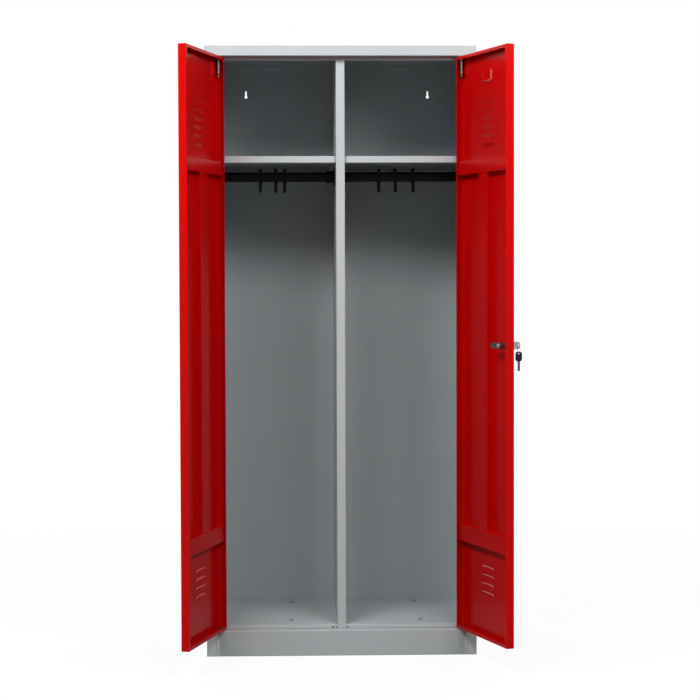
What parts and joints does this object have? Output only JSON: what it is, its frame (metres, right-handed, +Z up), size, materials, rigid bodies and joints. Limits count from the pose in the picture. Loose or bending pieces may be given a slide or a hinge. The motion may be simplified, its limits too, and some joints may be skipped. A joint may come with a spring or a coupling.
{
  "type": "two-door steel clothes locker",
  "caption": "Tall folded-sheet steel clothes locker with hinged doors, hat shelves, coat rails with sliding hooks and a cam lock.",
  "frame": {"origin": "On the floor, on the centre line, under the middle of the plinth's bottom flange.", "axes": "+X to the right as seen from the front, +Y towards the back, +Z up."},
  "size_m": [0.958, 0.8395, 1.8],
  "materials": {
    "carcass_paint": "light grey powder coat with a fine orange-peel texture",
    "door_paint": "red semi-gloss powder coat",
    "black_tube": "black coated tube",
    "black_plastic": "black moulded plastic",
    "nylon": "natural nylon",
    "zinc_steel": "bright zinc-plated steel",
    "nickel": "satin nickel plate"
  },
  "bodies": {
    "carcass": {"top_panel": "carcass_paint", "left_side_panel": "carcass_paint", "right_side_panel": "carcass_paint", "back_panel": "carcass_paint", "plinth": "carcass_paint", "floor_panel": "carcass_paint", "partition": "carcass_paint", "left_hat_shelf": "carcass_paint", "right_hat_shelf": "carcass_paint", "left_coat_rail": "black_tube", "right_coat_rail": "black_tube", "left_rail_bracket_at_side": "black_plastic", "left_rail_bracket_at_partition": "black_plastic", "right_rail_bracket_at_partition": "black_plastic", "right_rail_bracket_at_side": "black_plastic", "rail_rivets": "zinc_steel", "left_upper_bush": "nylon", "right_upper_bush": "nylon", "left_lower_pin": "zinc_steel", "right_lower_pin": "zinc_steel"},
    "left_door": {"left_door_panel": "door_paint", "left_door_upper_brace": "door_paint", "left_door_lower_brace": "door_paint", "left_door_upright": "door_paint", "left_door_lower_bush": "nylon", "left_pivot_bracket": "door_paint", "left_pivot_spring": "zinc_steel"},
    "right_door": {"right_door_panel": "door_paint", "right_door_upper_brace": "door_paint", "right_door_lower_brace": "door_paint", "right_door_upright": "door_paint", "right_door_lower_bush": "nylon", "right_pivot_bracket": "door_paint", "right_pivot_spring": "zinc_steel", "lock_housing": "nickel", "lock_nut": "nickel"},
    "left_top_pin": {"left_pivot_pin": "zinc_steel"},
    "right_top_pin": {"right_pivot_pin": "zinc_steel"},
    "lock_barrel": {"lock_plug": "nickel", "lock_cam": "zinc_steel", "cam_screw": "zinc_steel", "lock_key": "nickel"},
    "key_bunch": {"key_ring": "nickel", "spare_key_bow": "black_plastic", "spare_key_blade": "zinc_steel"},
    "left_coat_hook_1": {"left_hook_1": "black_plastic"},
    "left_coat_hook_2": {"left_hook_2": "black_plastic"},
    "left_coat_hook_3": {"left_hook_3": "black_plastic"},
    "right_coat_hook_1": {"right_hook_1": "black_plastic"},
    "right_coat_hook_2": {"right_hook_2": "black_plastic"},
    "right_coat_hook_3": {"right_hook_3": "black_plastic"}
  },
  "joints": [
    {"name": "left_door_swing", "type": "hinge", "parent": "carcass", "child": "left_door", "pos_m": [-0.358, -0.001, 0.923], "axis": [0, 0, -1], "range_deg": [-104.5, 12.5]},
    {"name": "right_door_swing", "type": "hinge", "parent": "carcass", "child": "right_door", "pos_m": [0.358, -0.001, 0.923], "axis": [0, 0, 1], "range_deg": [-107.7, 9.3]},
    {"name": "left_top_pin_slide", "type": "slide", "parent": "left_door", "child": "left_top_pin", "axis": [0, 0, 1], "range_m": [-0.012, 0], "stiffness_N_per_m": 500, "springref_m": 0.004, "deforming": ["left_pivot_spring"]},
    {"name": "right_top_pin_slide", "type": "slide", "parent": "right_door", "child": "right_top_pin", "axis": [0, 0, 1], "range_m": [-0.012, 0], "stiffness_N_per_m": 500, "springref_m": 0.004, "deforming": ["right_pivot_spring"]},
    {"name": "lock_turn", "type": "hinge", "parent": "right_door", "child": "lock_barrel", "pos_m": [0.4628, -0.29978, 0.928], "axis": [-0.9527, -0.304, 0], "range_deg": [0, 180]},
    {"name": "key_bunch_swing", "type": "hinge", "parent": "lock_barrel", "child": "key_bunch", "pos_m": [0.49281, -0.2902, 0.928], "axis": [0.304, -0.9527, 0], "range_deg": [-18, 65]},
    {"name": "left_hook_1_slide", "type": "slide", "parent": "carcass", "child": "left_coat_hook_1", "axis": [1, 0, 0], "range_m": [-0.1282, 0.0185]},
    {"name": "left_hook_2_slide", "type": "slide", "parent": "carcass", "child": "left_coat_hook_2", "axis": [1, 0, 0], "range_m": [-0.0185, 0.0085]},
    {"name": "left_hook_3_slide", "type": "slide", "parent": "carcass", "child": "left_coat_hook_3", "axis": [1, 0, 0], "range_m": [-0.0085, 0.122]},
    {"name": "right_hook_1_slide", "type": "slide", "parent": "carcass", "child": "right_coat_hook_1", "axis": [1, 0, 0], "range_m": [-0.1032, 0.0205]},
    {"name": "right_hook_2_slide", "type": "slide", "parent": "carcass", "child": "right_coat_hook_2", "axis": [1, 0, 0], "range_m": [-0.0205, 0.022]},
    {"name": "right_hook_3_slide", "type": "slide", "parent": "carcass", "child": "right_coat_hook_3", "axis": [1, 0, 0], "range_m": [-0.022, 0.1412]}
  ]
}
